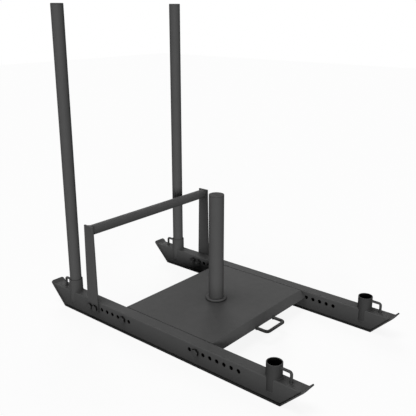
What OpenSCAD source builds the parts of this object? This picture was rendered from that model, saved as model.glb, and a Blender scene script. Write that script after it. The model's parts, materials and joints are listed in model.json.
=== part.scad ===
// Weight sled: two tube runners on turned-up skid plates, a folded deck with a weight post,
// four sockets, two tall push poles and a bolted low handle.
// Millimetres. X runs along the runners, front is +X. Y runs across, left is +Y. Z is up.
// The origin lies on the ground under the middle of the deck.

/* [Runners] */
// Distance between the centre lines of the two runners
runner_pitch = 500; // [420:10:700]
// Width of a runner tube
runner_w = 40; // [36:1:50]
// Height of a runner tube
runner_h = 60; // [54:1:90]
// Wall of a runner tube
runner_wall = 2.5; // [2:0.5:4]
// Outside corner radius of a runner tube
runner_corner = 3; // [1:0.5:6]

/* [Skid plates] */
// Width of a skid plate
skid_w = 50; // [40:1:70]
// Thickness of a skid plate
skid_t = 4; // [3:0.5:8]
// Length of a skid plate between its two bends
skid_flat_l = 870; // [840:2:1100]
// Length of a turned-up tip, along its slope
skid_tip_l = 98; // [94:1:140]
// Angle of a turned-up tip from the ground
tip_angle = 45; // [42:1:60]
// Corner radius at the end of a tip
tip_corner = 9; // [2:1:18]

/* [Side holes] */
// Distance of the outermost side hole from the middle of the sled
hole_end_x = 300; // [290:1:312]
// Distance between neighbouring side holes
hole_pitch = 25; // [24.5:0.5:28]
// Number of side holes in a row
hole_count = 8; // [7:1:9]
// Diameter of a side hole
hole_d = 13; // [12.5:0.5:14]
// Depth of the hole centres below the runner's top
hole_drop = 20; // [17:1:26]

/* [Deck] */
// Length of the deck between its front and rear folds
deck_l = 348; // [346:2:380]
// Thickness of the deck sheet
deck_t = 3; // [2:0.5:5]
// Length of a slanted lip, along its slope
lip_l = 28.5; // [15:0.5:36]
// Angle of a lip down from the deck
lip_angle = 45; // [30:1:60]
// Distance from the side holes down to the lower edge of a side flange
flange_edge = 14; // [12:1:20]
// Relief between a side flange and the fold beside it
flange_relief = 4; // [2:0.5:6]
// Least distance of a deck bolt from the front or rear fold
deck_bolt_edge = 20; // [14:1:20]

/* [Weight post] */
// Diameter of the weight post
post_d = 48; // [40:1:50]
// Wall of the weight post
post_wall = 5; // [4.5:0.5:8]
// Length of the post between its collar and its cap
post_l = 340; // [200:10:500]
// Width of the shoulder with which the post stands on its collar
post_shoulder = 3; // [1:0.5:3]
// Chamfer around the upper end of the post
post_chamfer = 1; // [0.5:0.1:1.5]
// Diameter of the collar
collar_d = 68; // [62:1:90]
// Height of the collar
collar_h = 8; // [4:1:12]
// Thickness of the post cap
post_cap_t = 3.5; // [3:0.5:6]

/* [Sockets] */
// Distance of the socket axes from the skid plates' bends
socket_inset = 35; // [27:1:55]
// Wall of a socket tube
socket_wall = 3; // [2:0.5:5]
// Height of a socket above the runner
socket_rise = 40; // [36:1:80]
// Depth to which a socket and its floor are let into the runner
socket_depth = 40; // [20:1:46]
// Thickness of a socket floor
floor_t = 3; // [2:0.5:6]

/* [Poles] */
// Diameter of a pole
pole_d = 38; // [34:0.5:40]
// Wall of a pole tube
pole_wall = 2; // [1.5:0.5:4]
// Length of a pole tube
pole_l = 945; // [600:5:1200]
// Thickness of a pole cap
pole_cap_t = 4; // [3:0.5:8]
// Radius around the top of a pole cap
pole_cap_round = 2.5; // [0.5:0.5:2.5]

/* [Rod loops] */
// Diameter of the socket loops' rod
rod_d = 8; // [6:0.5:10]
// Diameter of the tow loop's rod
tow_rod_d = 10; // [8:0.5:12]
// Height of a socket loop's level run above the runner
loop_rise = 29.5; // [22:0.5:34]
// Distance of a socket loop's upright leg from the socket axis
loop_reach = 52; // [44:0.5:60]
// Centre line radius of a socket loop's bend
loop_bend = 6.5; // [6:0.5:12]
// Distance between the two legs of the tow loop
tow_w = 88; // [60:2:140]
// Distance of the tow loop's cross run from the lip's edge
tow_reach = 40.5; // [30:0.5:60]
// Centre line radius of the tow loop's bends
tow_bend = 11; // [7:0.5:16]

/* [Handle] */
// Width of a handle upright at its foot
upright_foot_w = 50; // [48:1:54]
// Width of a handle upright at its top
upright_w = 40; // [38:1:44]
// Thickness of a handle upright
upright_t = 5; // [4:0.5:8]
// Length of a handle upright
upright_l = 290; // [200:5:600]
// Radius of the lower corners of a handle upright
upright_corner = 3; // [1:0.5:8]
// Distance from the lower end of an upright to its bolts
upright_edge = 14; // [12:1:20]
// Diameter of the crossbar
bar_d = 32; // [25:1:33]
// Wall of the crossbar
bar_wall = 2; // [1.5:0.5:4]
// Distance from the top of the uprights to the crossbar's axis
bar_drop = 16.5; // [16:0.5:40]

/* [Fasteners] */
// Diameter of all bolts
bolt_d = 12; // [10:0.5:12]
// Width across flats of bolt heads and nuts
hex_af = 19; // [18:0.5:19.5]
// Height of a bolt head
head_h = 7.5; // [6:0.1:8]
// Diameter of a washer
washer_d = 24; // [22:0.5:24]
// Thickness of a washer
washer_t = 2; // [1.5:0.5:3]
// Height of a nut's hexagon
nut_h = 8; // [7:0.5:9]
// Height of a nut's round locking collar
nut_collar_h = 3; // [2:0.5:4]
// Length of bolt that stands out of its nut
bolt_end = 3; // [2:0.5:8]

/* [Clearances] */
// Gap around a pole in its socket
pole_gap = 0.25; // [0.1:0.05:0.4]
// Gap between a pole and its socket floor
rest_gap = 0.3; // [0.2:0.05:0.5]
// Gap along a welded joint between curved pieces
weld_gap = 0.2; // [0.1:0.05:0.4]
// Gap around a cap's plug in its tube
plug_gap = 0.15; // [0.1:0.05:0.3]
// Gap around a bolt in its nut and washer
thread_gap = 0.1; // [0.05:0.05:0.3]

/* [Hidden] */
$fn = 96;
hole_fn = 32;
hex_fn = 6;
left = 1;
right = -1;
front = 1;
rear = -1;
// How far a cutting shape runs past what it cuts
past = 1;
// How far a tip's corner arcs reach across the plate's edges
corner_cross = 0.1;

coat = [0.17, 0.17, 0.175];
deck_coat = [0.21, 0.21, 0.215];
plastic = [0.13, 0.13, 0.135];
steel = [0.09, 0.09, 0.095];

runner_y = runner_pitch / 2;
runner_top = skid_t + runner_h;
runner_outer_y = runner_y + runner_w / 2;
runner_inner_y = runner_y - runner_w / 2;
runner_l = skid_flat_l + 4 * runner_h;

hole_z = runner_top - hole_drop;
// The handle takes the outermost holes of a rear row, which count from 0
handle_hole_count = 2;
handle_holes = [0 : handle_hole_count - 1];
// The deck takes the first hole of each row that is far enough behind its fold
deck_hole = ceil((hole_end_x - deck_l / 2 + deck_bolt_edge) / hole_pitch);

deck_half_w = runner_inner_y;
deck_under = runner_top - deck_t;
flange_l = deck_l - 2 * flange_relief;
flange_bottom = hole_z - flange_edge;
lip_mid_x = deck_l / 2 + lip_l * cos(lip_angle) + deck_t / 2 * sin(lip_angle);
lip_mid_z = deck_under - lip_l * sin(lip_angle) + deck_t / 2 * cos(lip_angle);
// Size of the block that trims the tow loop's legs at the lip
trim_l = 100;

post_bore_d = post_d - 2 * post_wall;
post_foot_d = post_d - 2 * post_shoulder;
collar_top = runner_top + collar_h;
post_top = collar_top + post_l;
post_plug_l = 12;
post_cap_round = 1;

socket_x = skid_flat_l / 2 - socket_inset;
socket_bore_d = pole_d + 2 * pole_gap;
socket_d = socket_bore_d + 2 * socket_wall;
notch_z = runner_top - socket_depth;
socket_z = notch_z + floor_t;
socket_top = runner_top + socket_rise;

pole_z = socket_z + rest_gap;
pole_top = pole_z + pole_l;
pole_plug_l = 15;

upright_z = hole_z - upright_edge;
upright_top = upright_z + upright_l;
upright_x = -(hole_x(0) + hole_x(handle_hole_count - 1)) / 2;
bar_z = upright_top - bar_drop;

handle_grip = upright_t + runner_w;
deck_grip = runner_w + deck_t;
nut_stack = washer_t + nut_h + nut_collar_h;
handle_washer_y = runner_inner_y - washer_t;
deck_washer_y = runner_inner_y - deck_t - washer_t;

// Distance of a side hole from the middle of the sled
function hole_x(place) = hole_end_x - place * hole_pitch;

// Flat shapes

module rounded_rect(w, h, r) {
    square([w - 2 * r, h], center = true);
    square([w, h - 2 * r], center = true);
    for (x = [-1, 1], y = [-1, 1])
        translate([x * (w / 2 - r), y * (h / 2 - r)]) circle(r);
}

// Four-sided shape that narrows evenly from its foot to its top
module even_taper(foot_w, top_w, h) {
    polygon([[-foot_w / 2, -h / 2], [foot_w / 2, -h / 2], [top_w / 2, h / 2], [-top_w / 2, h / 2]]);
}

module tube_profile(w, h, wall, corner) {
    inner_corner = max(corner - wall, 0.2);
    difference() {
        rounded_rect(w, h, corner);
        rounded_rect(w - 2 * wall, h - 2 * wall, inner_corner);
    }
}

// Half section of a round cap whose upper edge is rounded
module cap_section(radius, height, round_r) {
    square([radius, height - round_r]);
    square([radius - round_r, height]);
    translate([radius - round_r, height - round_r]) intersection() {
        circle(round_r);
        square(2 * round_r);
    }
}

// Bends and places

// Quarter round fold whose axis lies along Y, from +X to +Z
module quarter_fold(radius, width) {
    rotate([90, 0, 0]) rotate_extrude(angle = 90)
        translate([0, -width / 2]) square([radius, width]);
}

// Side profile of a sheet bent at the origin. The flat lies under -X, and the slope rises from +X.
module bent_profile(flat_l, slope_l, thickness, angle) {
    translate([-flat_l, -thickness]) square([flat_l, thickness]);
    difference() {
        circle(thickness);
        translate([-thickness - past, 0]) square([2 * (thickness + past), thickness + past]);
    }
    rotate(angle) translate([0, -thickness]) square([slope_l, thickness]);
}

// Quarter ring of rod about the Z axis, from +X to +Y
module rod_bend(bend_r, d) {
    rotate_extrude(angle = 90) translate([bend_r, 0]) circle(d = d);
}

// Turns the front end's shape to either end
module to_end(end) {
    mirror([end == rear ? 1 : 0, 0, 0]) children();
}

// Turns the left side's shape to either side
module to_side(side) {
    mirror([0, side == right ? 1 : 0, 0]) children();
}

// Turns a shape on the Z axis to point out of the left or right side
module point_out(side) {
    rotate([-90 * side, 0, 0]) children();
}

// Side holes at the given places of a row, along Y at one runner
module side_holes(end, places, length) {
    for (place = places)
        translate([end * hole_x(place), 0, hole_z]) rotate([90, 0, 0])
            cylinder(d = hole_d, h = length, center = true, $fn = hole_fn);
}

// Frame

// Everything under and beyond the slanted face of the front tip
module beyond_tip() {
    depth = 4 * runner_h;
    translate([skid_flat_l / 2, -skid_w, skid_t]) rotate([0, -tip_angle, 0])
        translate([0, 0, -depth]) cube([depth, 2 * skid_w, depth]);
}

module runner(side) {
    color(coat) translate([0, side * runner_y, 0]) difference() {
        translate([0, 0, skid_t + runner_h / 2]) rotate([90, 0, 90])
            linear_extrude(runner_l, center = true)
                tube_profile(runner_w, runner_h, runner_wall, runner_corner);
        for (end = [front, rear]) {
            to_end(end) beyond_tip();
            side_holes(end, [0 : hole_count - 1], runner_w + 2 * past);
            translate([end * socket_x, 0, notch_z])
                cylinder(d = socket_d + 2 * weld_gap, h = socket_depth + past);
        }
    }
}

// What is cut off one end of a tip, lying along X, to round its two corners
module tip_corners() {
    corner_x = skid_tip_l - tip_corner + corner_cross;
    corner_y = skid_w / 2 - tip_corner + corner_cross;
    for (side = [left, right]) to_side(side) translate([corner_x, corner_y, -2 * skid_t])
        difference() {
            cube([tip_corner + past, tip_corner + past, 3 * skid_t]);
            translate([0, 0, -past]) cylinder(r = tip_corner, h = 3 * skid_t + 2 * past);
        }
}

module skid_plate(side) {
    color(coat) translate([0, side * runner_y, 0])
        for (end = [front, rear]) to_end(end) translate([skid_flat_l / 2, 0, skid_t])
            difference() {
                rotate([90, 0, 0]) linear_extrude(skid_w, center = true)
                    bent_profile(skid_flat_l / 2, skid_tip_l, skid_t, tip_angle);
                rotate([0, -tip_angle, 0]) tip_corners();
            }
}

module socket(end, side) {
    color(coat) translate([end * socket_x, side * runner_y, socket_z]) difference() {
        cylinder(d = socket_d, h = socket_top - socket_z);
        translate([0, 0, -past]) cylinder(d = socket_bore_d, h = socket_top - socket_z + 2 * past);
    }
}

module socket_floor(end, side) {
    color(coat) translate([end * socket_x, side * runner_y, notch_z])
        cylinder(d = socket_d, h = floor_t);
}

// Rod loop from a socket's outer side down to the runner
module socket_loop(end, side) {
    run_l = loop_reach - loop_bend;
    color(coat) to_end(end) translate([socket_x, side * runner_y, runner_top]) difference() {
        union() {
            translate([0, 0, loop_rise]) rotate([0, 90, 0]) cylinder(d = rod_d, h = run_l);
            translate([run_l, 0, loop_rise - loop_bend]) rotate([90, 0, 0]) rod_bend(loop_bend, rod_d);
            translate([loop_reach, 0, 0]) cylinder(d = rod_d, h = loop_rise - loop_bend);
        }
        cylinder(d = socket_d + 2 * weld_gap, h = socket_rise + rod_d);
    }
}

// Deck

// Folded sheet with its front and rear lips, at full width
module sheet() {
    for (end = [front, rear]) to_end(end) translate([deck_l / 2, 0, deck_under])
        rotate([-90, 0, 0]) linear_extrude(2 * deck_half_w, center = true)
            bent_profile(deck_l / 2, lip_l, deck_t, lip_angle);
}

module flange() {
    fold_y = deck_half_w - deck_t;
    translate([-flange_l / 2, fold_y, flange_bottom])
        cube([flange_l, deck_t, deck_under - flange_bottom]);
    translate([0, fold_y, deck_under]) rotate([0, 0, 90]) quarter_fold(deck_t, flange_l);
}

module deck() {
    color(deck_coat) difference() {
        union() {
            difference() {
                sheet();
                for (side = [left, right]) to_side(side)
                    translate([-flange_l / 2, deck_half_w - deck_t, deck_under - past])
                        cube([flange_l, deck_t + past, deck_t + 2 * past]);
            }
            for (side = [left, right]) to_side(side) flange();
        }
        translate([0, 0, deck_under - past])
            cylinder(d = post_foot_d + 2 * weld_gap, h = deck_t + 2 * past);
        for (end = [front, rear]) side_holes(end, [deck_hole], 2 * runner_y);
    }
}

// Everything on the deck's side of the front lip's edge
module behind_lip() {
    translate([deck_l / 2, 0, deck_under]) rotate([0, lip_angle, 0])
        translate([lip_l + weld_gap - trim_l, -tow_w, -trim_l / 2])
            cube([trim_l, 2 * tow_w, trim_l]);
}

module tow_loop() {
    // The legs start behind the lip's edge, which trims them
    leg_start = lip_mid_x - tow_rod_d;
    bend_x = lip_mid_x + tow_reach - tow_bend;
    color(coat) difference() {
        translate([0, 0, lip_mid_z]) {
            for (side = [left, right]) to_side(side) {
                translate([leg_start, tow_w / 2, 0]) rotate([0, 90, 0])
                    cylinder(d = tow_rod_d, h = bend_x - leg_start);
                translate([bend_x, tow_w / 2 - tow_bend, 0]) rod_bend(tow_bend, tow_rod_d);
            }
            translate([bend_x + tow_bend, 0, 0]) rotate([90, 0, 0])
                cylinder(d = tow_rod_d, h = tow_w - 2 * tow_bend, center = true);
        }
        behind_lip();
    }
}

// Weight post

module post_collar() {
    edge_r = collar_h / 2;
    color(coat) translate([0, 0, runner_top]) difference() {
        rotate_extrude() {
            square([collar_d / 2 - edge_r, collar_h]);
            translate([collar_d / 2 - edge_r, edge_r]) circle(edge_r);
        }
        translate([0, 0, -past])
            cylinder(d = post_foot_d + 2 * weld_gap, h = collar_h + 2 * past);
    }
}

module weight_post() {
    color(coat) difference() {
        union() {
            translate([0, 0, deck_under]) cylinder(d = post_foot_d, h = deck_t + collar_h);
            translate([0, 0, collar_top]) cylinder(d = post_d, h = post_l - post_chamfer);
            translate([0, 0, post_top - post_chamfer])
                cylinder(d1 = post_d, d2 = post_d - 2 * post_chamfer, h = post_chamfer);
        }
        translate([0, 0, deck_under - past])
            cylinder(d = post_bore_d, h = post_top - deck_under + 2 * past);
    }
}

// Cap with a plug that fills the end of a tube, standing on the tube's rim
module tube_cap(cap_d, cap_t, round_r, bore_d, plug_l) {
    rotate_extrude() cap_section(cap_d / 2, cap_t, round_r);
    translate([0, 0, -plug_l]) cylinder(d = bore_d - 2 * plug_gap, h = plug_l);
}

module post_cap() {
    color(plastic) translate([0, 0, post_top])
        tube_cap(post_d, post_cap_t, post_cap_round, post_bore_d, post_plug_l);
}

// Poles

module pole(side) {
    color(coat) translate([rear * socket_x, side * runner_y, pole_z]) difference() {
        cylinder(d = pole_d, h = pole_l);
        translate([0, 0, -past]) cylinder(d = pole_d - 2 * pole_wall, h = pole_l + 2 * past);
    }
}

module pole_cap(side) {
    color(plastic) translate([rear * socket_x, side * runner_y, pole_top])
        tube_cap(pole_d, pole_cap_t, pole_cap_round, pole_d - 2 * pole_wall, pole_plug_l);
}

// Handle

module upright(side) {
    inner_y = side * runner_outer_y;
    color(coat) difference() {
        translate([upright_x, inner_y + side * upright_t / 2, upright_z + upright_l / 2])
            rotate([90, 0, 0]) linear_extrude(upright_t, center = true) intersection() {
                rounded_rect(upright_foot_w, upright_l, upright_corner);
                even_taper(upright_foot_w, upright_w, upright_l);
            }
        translate([0, inner_y, 0]) side_holes(rear, handle_holes, 2 * (upright_t + past));
    }
}

module crossbar() {
    color(coat) translate([upright_x, 0, bar_z]) rotate([90, 0, 0]) difference() {
        cylinder(d = bar_d, h = 2 * runner_outer_y, center = true);
        cylinder(d = bar_d - 2 * bar_wall, h = 2 * (runner_outer_y + past), center = true);
    }
}

// Fasteners, standing on Z = 0 with the head above it and the shank below

module hex_head(height) {
    corner_r = hex_af / 2 / cos(30);
    face_r = 0.95 * hex_af / 2;
    slope_h = (corner_r - face_r) * tan(30);
    intersection() {
        rotate([0, 0, 30]) cylinder(r = corner_r, h = height, $fn = hex_fn);
        union() {
            cylinder(r = corner_r, h = height - slope_h);
            translate([0, 0, height - slope_h]) cylinder(r1 = corner_r, r2 = face_r, h = slope_h);
        }
    }
}

module bolt(length) {
    tip_h = 1;
    hex_head(head_h);
    translate([0, 0, tip_h - length]) cylinder(d = bolt_d, h = length - tip_h);
    translate([0, 0, -length]) cylinder(d1 = bolt_d - 2 * tip_h, d2 = bolt_d, h = tip_h);
}

module washer() {
    difference() {
        cylinder(d = washer_d, h = washer_t);
        translate([0, 0, -past]) cylinder(d = bolt_d + 2 * thread_gap, h = washer_t + 2 * past);
    }
}

module lock_nut() {
    collar_edge = 1;
    collar_step = 1;
    nut_collar_d = hex_af - 2 * collar_step;
    difference() {
        union() {
            hex_head(nut_h);
            rotate_extrude() cap_section(nut_collar_d / 2, nut_h + nut_collar_h, collar_edge);
        }
        translate([0, 0, -past])
            cylinder(d = bolt_d + 2 * thread_gap, h = nut_h + nut_collar_h + 2 * past);
    }
}

// Repeats a fastener at each side and each given hole, at a distance from the sled's middle plane
module at_holes(ends, places, y) {
    for (side = [left, right], end = ends, place = places)
        translate([end * hole_x(place), side * y, hole_z]) point_out(side) children();
}

module handle_bolts() {
    color(steel) at_holes([rear], handle_holes, runner_outer_y + upright_t)
        bolt(handle_grip + nut_stack + bolt_end);
}

module handle_washers() {
    color(steel) at_holes([rear], handle_holes, handle_washer_y) washer();
}

module handle_nuts() {
    color(steel) at_holes([rear], handle_holes, handle_washer_y) mirror([0, 0, 1]) lock_nut();
}

module deck_bolts() {
    color(steel) at_holes([front, rear], [deck_hole], runner_outer_y)
        bolt(deck_grip + nut_stack + bolt_end);
}

module deck_washers() {
    color(steel) at_holes([front, rear], [deck_hole], deck_washer_y) washer();
}

module deck_nuts() {
    color(steel) at_holes([front, rear], [deck_hole], deck_washer_y) mirror([0, 0, 1]) lock_nut();
}

runner(left);  // left_runner
runner(right);  // right_runner
skid_plate(left);  // left_skid_plate
skid_plate(right);  // right_skid_plate
socket(front, left);  // front_left_socket
socket(front, right);  // front_right_socket
socket(rear, left);  // rear_left_socket
socket(rear, right);  // rear_right_socket
socket_floor(front, left);  // front_left_floor
socket_floor(front, right);  // front_right_floor
socket_floor(rear, left);  // rear_left_floor
socket_floor(rear, right);  // rear_right_floor
socket_loop(front, left);  // front_left_loop
socket_loop(front, right);  // front_right_loop
socket_loop(rear, left);  // rear_left_loop
socket_loop(rear, right);  // rear_right_loop
pole(left);  // left_pole
pole(right);  // right_pole
pole_cap(left);  // left_pole_cap
pole_cap(right);  // right_pole_cap
deck();
tow_loop();
post_collar();
weight_post();
post_cap();
upright(left);  // left_upright
upright(right);  // right_upright
crossbar();
handle_bolts();
handle_washers();
handle_nuts();
deck_bolts();
deck_washers();
deck_nuts();
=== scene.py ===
"""Looks of a weight sled.

A powder coated tube frame with a folded deck, a weight post, two push poles and a low handle.
Metres. X runs along the runners, front is +X. Y runs across, left is +Y. Z is up.
"""

import json
import math

import bmesh
import bpy
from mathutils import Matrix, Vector


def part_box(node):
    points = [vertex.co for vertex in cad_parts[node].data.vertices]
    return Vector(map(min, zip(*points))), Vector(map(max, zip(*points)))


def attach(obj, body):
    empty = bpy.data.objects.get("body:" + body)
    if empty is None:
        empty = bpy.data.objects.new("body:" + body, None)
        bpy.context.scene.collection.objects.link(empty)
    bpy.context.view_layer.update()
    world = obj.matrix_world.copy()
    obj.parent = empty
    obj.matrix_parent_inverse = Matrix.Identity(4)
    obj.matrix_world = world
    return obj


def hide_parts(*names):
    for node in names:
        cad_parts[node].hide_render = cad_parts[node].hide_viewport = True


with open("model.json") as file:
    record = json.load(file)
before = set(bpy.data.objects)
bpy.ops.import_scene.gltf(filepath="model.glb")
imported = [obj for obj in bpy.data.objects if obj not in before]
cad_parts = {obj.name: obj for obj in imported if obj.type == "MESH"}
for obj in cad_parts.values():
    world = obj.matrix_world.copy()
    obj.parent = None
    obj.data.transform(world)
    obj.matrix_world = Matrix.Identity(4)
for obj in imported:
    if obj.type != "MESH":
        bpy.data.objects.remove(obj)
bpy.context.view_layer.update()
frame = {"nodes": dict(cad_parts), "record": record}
scene = bpy.context.scene

SIDES = {"left": 1, "right": -1}
ENDS = {"front": 1, "rear": -1}
body_of = {
    node: body
    for body, nodes in frame["record"]["behaviour"]["bodies"].items()
    for node in nodes
}
slot_of = {part["node"]: part["material_slot"] for part in frame["record"]["subparts"]}


# Camera

SENSOR_MM = 36.0
LENS_MM = 54.1
CAMERA_PLACE = (1.1743, -1.4262, 0.9607)
CAMERA_TILT = math.radians(90 - 17.70)
CAMERA_TURN = math.radians(40.28)
camera_data = bpy.data.cameras.new("front_corner_view")
camera_data.sensor_width = SENSOR_MM
camera_data.lens = LENS_MM
camera = bpy.data.objects.new("front_corner_view", camera_data)
camera.location = CAMERA_PLACE
camera.rotation_euler = (CAMERA_TILT, 0, CAMERA_TURN)
scene.collection.objects.link(camera)
scene.camera = camera


# Making of node trees

NUMBER = "NodeSocketFloat"
COUNT = "NodeSocketInt"
SHAPE = "NodeSocketGeometry"
FINISH = "NodeSocketMaterial"


def new_tree(name, kind, inputs, outputs):
    """An empty node tree with named inputs and outputs, and its two end nodes' sockets."""
    tree = bpy.data.node_groups.new(name, kind)
    for label, socket_type, value in inputs:
        socket = tree.interface.new_socket(name=label, in_out="INPUT", socket_type=socket_type)
        if value is not None:
            socket.default_value = value
    for label, socket_type in outputs:
        tree.interface.new_socket(name=label, in_out="OUTPUT", socket_type=socket_type)
    start = tree.nodes.new("NodeGroupInput")
    end = tree.nodes.new("NodeGroupOutput")
    return tree, start.outputs, end.inputs


def put(tree, kind, inputs=None, **settings):
    """Adds a node. Its inputs are given by name or place, each a value or a socket to link."""
    node = tree.nodes.new(kind)
    for key, value in settings.items():
        setattr(node, key, value)
    for key, value in (inputs or {}).items():
        feed(tree, node.inputs[key], value)
    return node


def feed(tree, socket, value):
    if isinstance(value, bpy.types.NodeSocket):
        tree.links.new(value, socket)
    else:
        socket.default_value = value


def calc(tree, operation, *values, clamp=False):
    """A Math node's result."""
    node = put(tree, "ShaderNodeMath", operation=operation, use_clamp=clamp)
    for place, value in enumerate(values):
        feed(tree, node.inputs[place], value)
    return node.outputs[0]


def spread(tree, value, low, high, to_low=0.0, to_high=1.0):
    """Maps low..high to to_low..to_high, held at both ends."""
    sizes = {"Value": value, "From Min": low, "From Max": high, "To Min": to_low, "To Max": to_high}
    return put(tree, "ShaderNodeMapRange", sizes).outputs["Result"]


# Effects that several finishes share

OBJECT = "Object"
WEAR_SAMPLES = 6
SHELTER_SAMPLES = 12


def noise(tree, place, scale, detail=2.0, roughness=0.5):
    sizes = {"Vector": place, "Scale": scale, "Detail": detail, "Roughness": roughness}
    return put(tree, "ShaderNodeTexNoise", sizes).outputs["Fac"]


def make_powder_skin():
    """Orange peel and fine grain of a baked powder coat."""
    inputs = [("Peel size", NUMBER, 0.0016), ("Grain size", NUMBER, 0.0004)]
    outputs = [("Height", NUMBER), ("Speckle", NUMBER)]
    tree, start, end = new_tree("powder_skin", "ShaderNodeTree", inputs, outputs)
    place = put(tree, "ShaderNodeTexCoord").outputs[OBJECT]
    peel = noise(tree, place, calc(tree, "DIVIDE", 1.0, start["Peel size"]), detail=1.5)
    grain = noise(tree, place, calc(tree, "DIVIDE", 1.0, start["Grain size"]), roughness=0.6)
    grain_share = 0.3
    height = calc(tree, "MULTIPLY_ADD", grain, grain_share, peel)
    tree.links.new(height, end["Height"])
    tree.links.new(spread(tree, grain, 0.55, 0.72), end["Speckle"])
    return tree


def make_shade_drift():
    """Slow drift of a coat's tone and gloss over a panel."""
    inputs = [("Patch size", NUMBER, 0.06)]
    tree, start, end = new_tree("shade_drift", "ShaderNodeTree", inputs, [("Drift", NUMBER)])
    place = put(tree, "ShaderNodeTexCoord").outputs[OBJECT]
    patches = noise(tree, place, calc(tree, "DIVIDE", 1.0, start["Patch size"]), detail=4.0, roughness=0.55)
    tree.links.new(spread(tree, patches, 0.3, 0.7), end["Drift"])
    return tree


def make_edge_wear():
    """Coat rubbed thin along outer edges, broken up by noise."""
    inputs = [("Edge width", NUMBER, 0.0012), ("Amount", NUMBER, 0.5), ("Break size", NUMBER, 0.012)]
    tree, start, end = new_tree("edge_wear", "ShaderNodeTree", inputs, [("Wear", NUMBER)])
    rounded = put(tree, "ShaderNodeBevel", {"Radius": start["Edge width"]}, samples=WEAR_SAMPLES)
    flat = put(tree, "ShaderNodeNewGeometry").outputs["Normal"]
    turn = put(tree, "ShaderNodeVectorMath", operation="DOT_PRODUCT")
    feed(tree, turn.inputs[0], rounded.outputs["Normal"])
    feed(tree, turn.inputs[1], flat)
    flat_turn, edge_turn = 0.995, 0.86
    edge = spread(tree, turn.outputs["Value"], flat_turn, edge_turn)
    place = put(tree, "ShaderNodeTexCoord").outputs[OBJECT]
    breaks = noise(tree, place, calc(tree, "DIVIDE", 1.0, start["Break size"]), detail=5.0, roughness=0.65)
    kept = spread(tree, breaks, 0.5, 0.66)
    wear = calc(tree, "MULTIPLY", calc(tree, "MULTIPLY", edge, kept), start["Amount"], clamp=True)
    tree.links.new(wear, end["Wear"])
    return tree


def make_settled_dust():
    """Thin dust on faces that look up."""
    inputs = [("Amount", NUMBER, 0.3), ("Cloud size", NUMBER, 0.03)]
    tree, start, end = new_tree("settled_dust", "ShaderNodeTree", inputs, [("Dust", NUMBER)])
    place = put(tree, "ShaderNodeTexCoord").outputs[OBJECT]
    normal = put(tree, "ShaderNodeNewGeometry").outputs["Normal"]
    upward = put(tree, "ShaderNodeSeparateXYZ", {"Vector": normal}).outputs["Z"]
    sloping, level = 0.4, 0.98
    facing = spread(tree, upward, sloping, level)
    clouds = noise(tree, place, calc(tree, "DIVIDE", 1.0, start["Cloud size"]), detail=6.0, roughness=0.6)
    share = calc(tree, "MULTIPLY", facing, spread(tree, clouds, 0.35, 0.75))
    tree.links.new(calc(tree, "MULTIPLY", share, start["Amount"], clamp=True), end["Dust"])
    return tree


def make_painted_corner_shade():
    """Painted shade: darkens the colour in corners, at joints and near the ground, where shade falls, found
    by ambient occlusion and broken up by noise.
    """
    inputs = [("Reach", NUMBER, 0.07), ("Amount", NUMBER, 0.8), ("Break size", NUMBER, 0.02)]
    tree, start, end = new_tree("painted_corner_shade", "ShaderNodeTree", inputs, [("Painted shade", NUMBER)])
    shelter = put(tree, "ShaderNodeAmbientOcclusion", {"Distance": start["Reach"]}, samples=SHELTER_SAMPLES)
    open_air, tight_corner = 0.97, 0.3
    closed = spread(tree, shelter.outputs["AO"], open_air, tight_corner)
    place = put(tree, "ShaderNodeTexCoord").outputs[OBJECT]
    breaks = noise(tree, place, calc(tree, "DIVIDE", 1.0, start["Break size"]), detail=4.0, roughness=0.6)
    uneven = spread(tree, breaks, 0.3, 0.7, 0.85, 1.0)
    painted_shade = calc(tree, "MULTIPLY", calc(tree, "MULTIPLY", closed, uneven), start["Amount"], clamp=True)
    tree.links.new(painted_shade, end["Painted shade"])
    return tree


powder_skin = make_powder_skin()
painted_corner_shade = make_painted_corner_shade()
shade_drift = make_shade_drift()
edge_wear = make_edge_wear()
settled_dust = make_settled_dust()


# Finishes

def tone(value, warmth=0.0):
    """A near neutral grey."""
    return (value * (1 + warmth), value, value * (1 - warmth), 1.0)


# Tones of dust and of worn places
DUST_TONE = tone(0.2, 0.04)
WORN_COAT = tone(0.16, 0.02)
WORN_PLASTIC = tone(0.14)
WORN_STEEL = tone(0.2, 0.01)
SCUFFED_STEEL = tone(0.3, 0.01)

# How far a finish's tone drifts each way, as a share of it
COAT_DRIFT = 0.03
PLASTIC_DRIFT = 0.08
STEEL_STAIN = 0.2
SCALE_DRIFT = 0.4

# Tone of painted shade in corners and on a bolt's flanks, as a share of the finish's own
PAINTED_SHADE_SHARE = 0.12
STEEL_PAINTED_SHADE_SHARE = 0.06
FLANK_PAINTED_SHADE_SHARE = 0.15

# Specular levels
COAT_SHEEN = 0.02
PLASTIC_SHEEN = 0.0
STEEL_SHEEN = 0.08

# Heights where the skids' painted shade along the lower edge begins and is full, and how far it covers the
# coat
GROUND_SHADE_TOP = 0.008
GROUND_SHADE_FULL = 0.002
GROUND_SHADE_COVER = 0.85


def group(tree, effect, **sizes):
    """Places a shared effect with its own sizes, and gives its outputs."""
    node = put(tree, "ShaderNodeGroup", node_tree=effect)
    for label, value in sizes.items():
        node.inputs[label.replace("_", " ")].default_value = value
    return node.outputs


def blend_tone(tree, factor, first, second):
    """From the first tone at factor 0 to the second at 1."""
    node = put(tree, "ShaderNodeMix", data_type="RGBA")
    feed(tree, node.inputs[0], factor)
    feed(tree, node.inputs[6], first)
    feed(tree, node.inputs[7], second)
    return node.outputs[2]


def new_finish(name):
    finish = bpy.data.materials.new(name)
    finish.use_nodes = True
    tree = finish.node_tree
    return finish, tree, tree.nodes["Principled BSDF"]


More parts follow.
